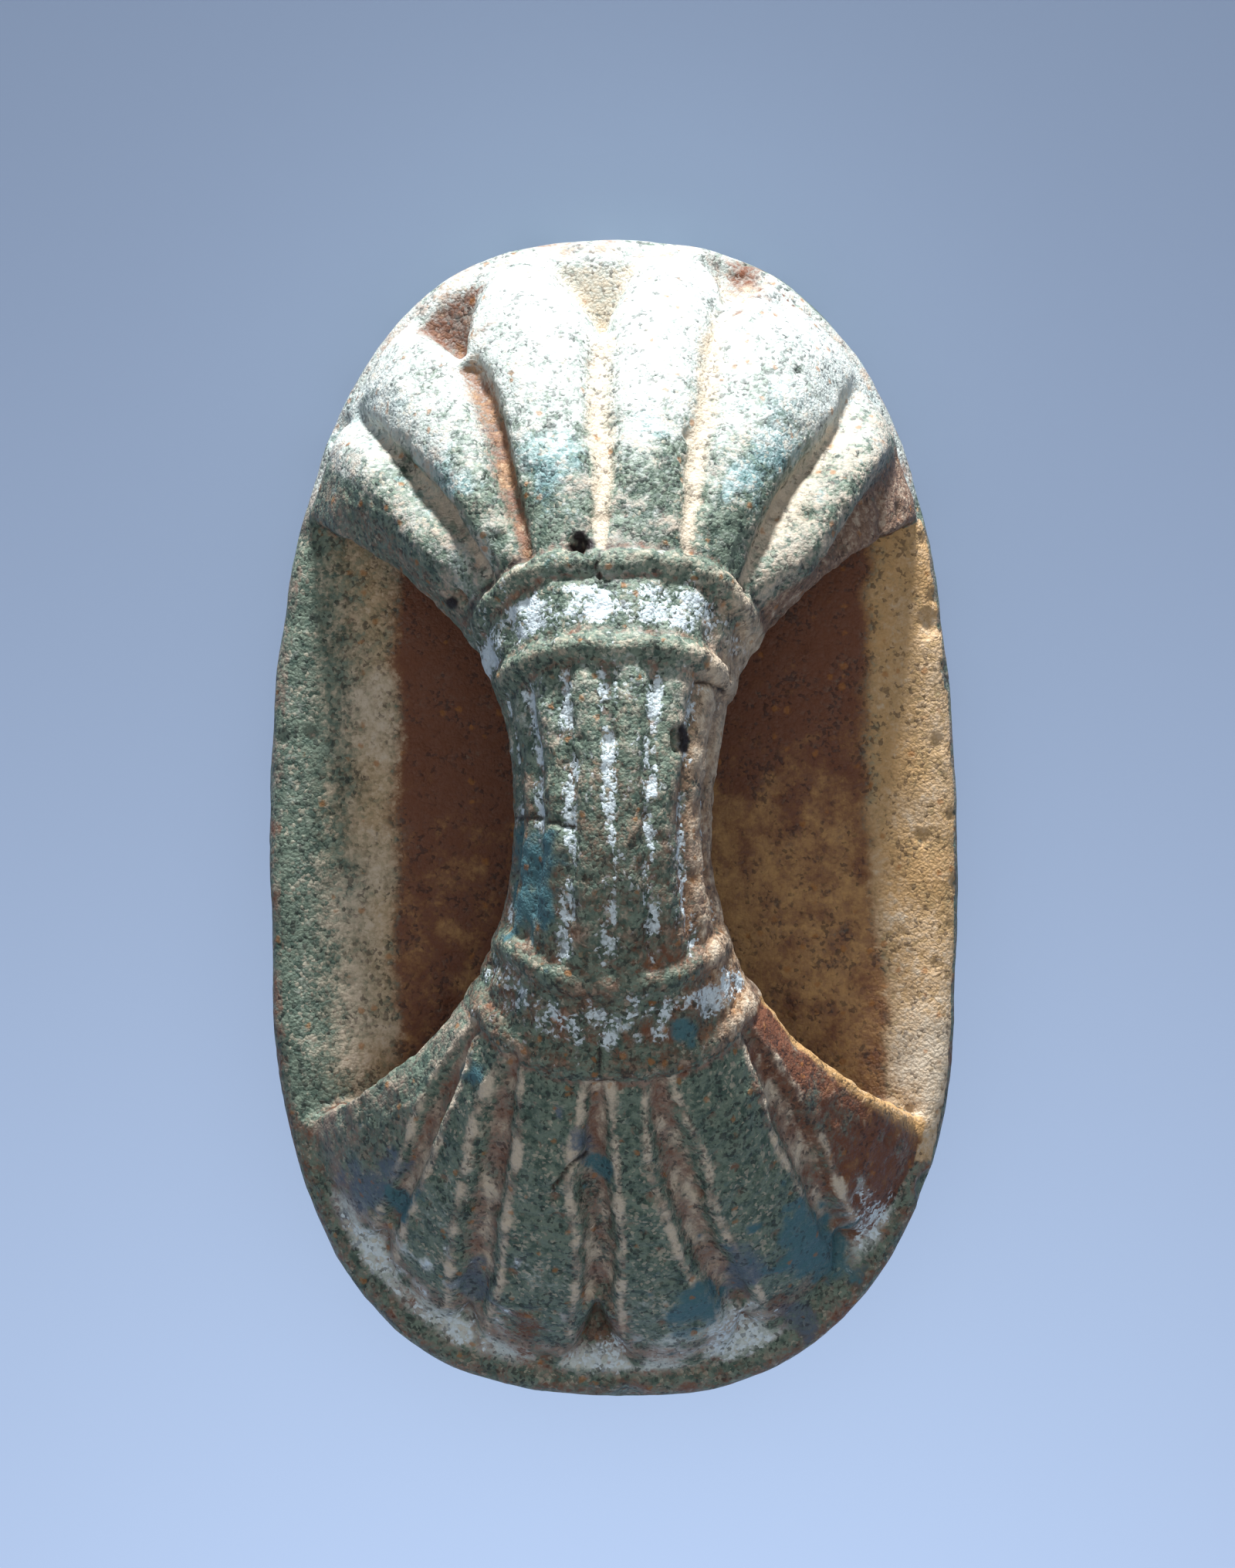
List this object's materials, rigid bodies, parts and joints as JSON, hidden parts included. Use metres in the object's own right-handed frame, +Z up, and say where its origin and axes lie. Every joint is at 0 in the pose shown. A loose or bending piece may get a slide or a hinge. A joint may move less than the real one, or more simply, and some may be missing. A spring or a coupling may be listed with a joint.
{
  "type": "seal amulet",
  "caption": "Oval seal amulet in worn green glaze: a flat plate under an arched handle carved as papyrus heads joined by a tied bundle of stalks, open beneath for a cord.",
  "frame": {"origin": "centre of the flat underside, the bottom centre of the box", "axes": "+Z up out of the carved back, +Y along the plate to the upper papyrus head, X across the plate and along the cord tunnel"},
  "size_m": [0.0126, 0.021, 0.0086],
  "materials": {
    "worn_glaze": "worn, pitted turquoise-green glaze over a cream body, brown in the grooves"
  },
  "bodies": {
    "root": {"seal_amulet": "worn_glaze"}
  },
  "joints": []
}
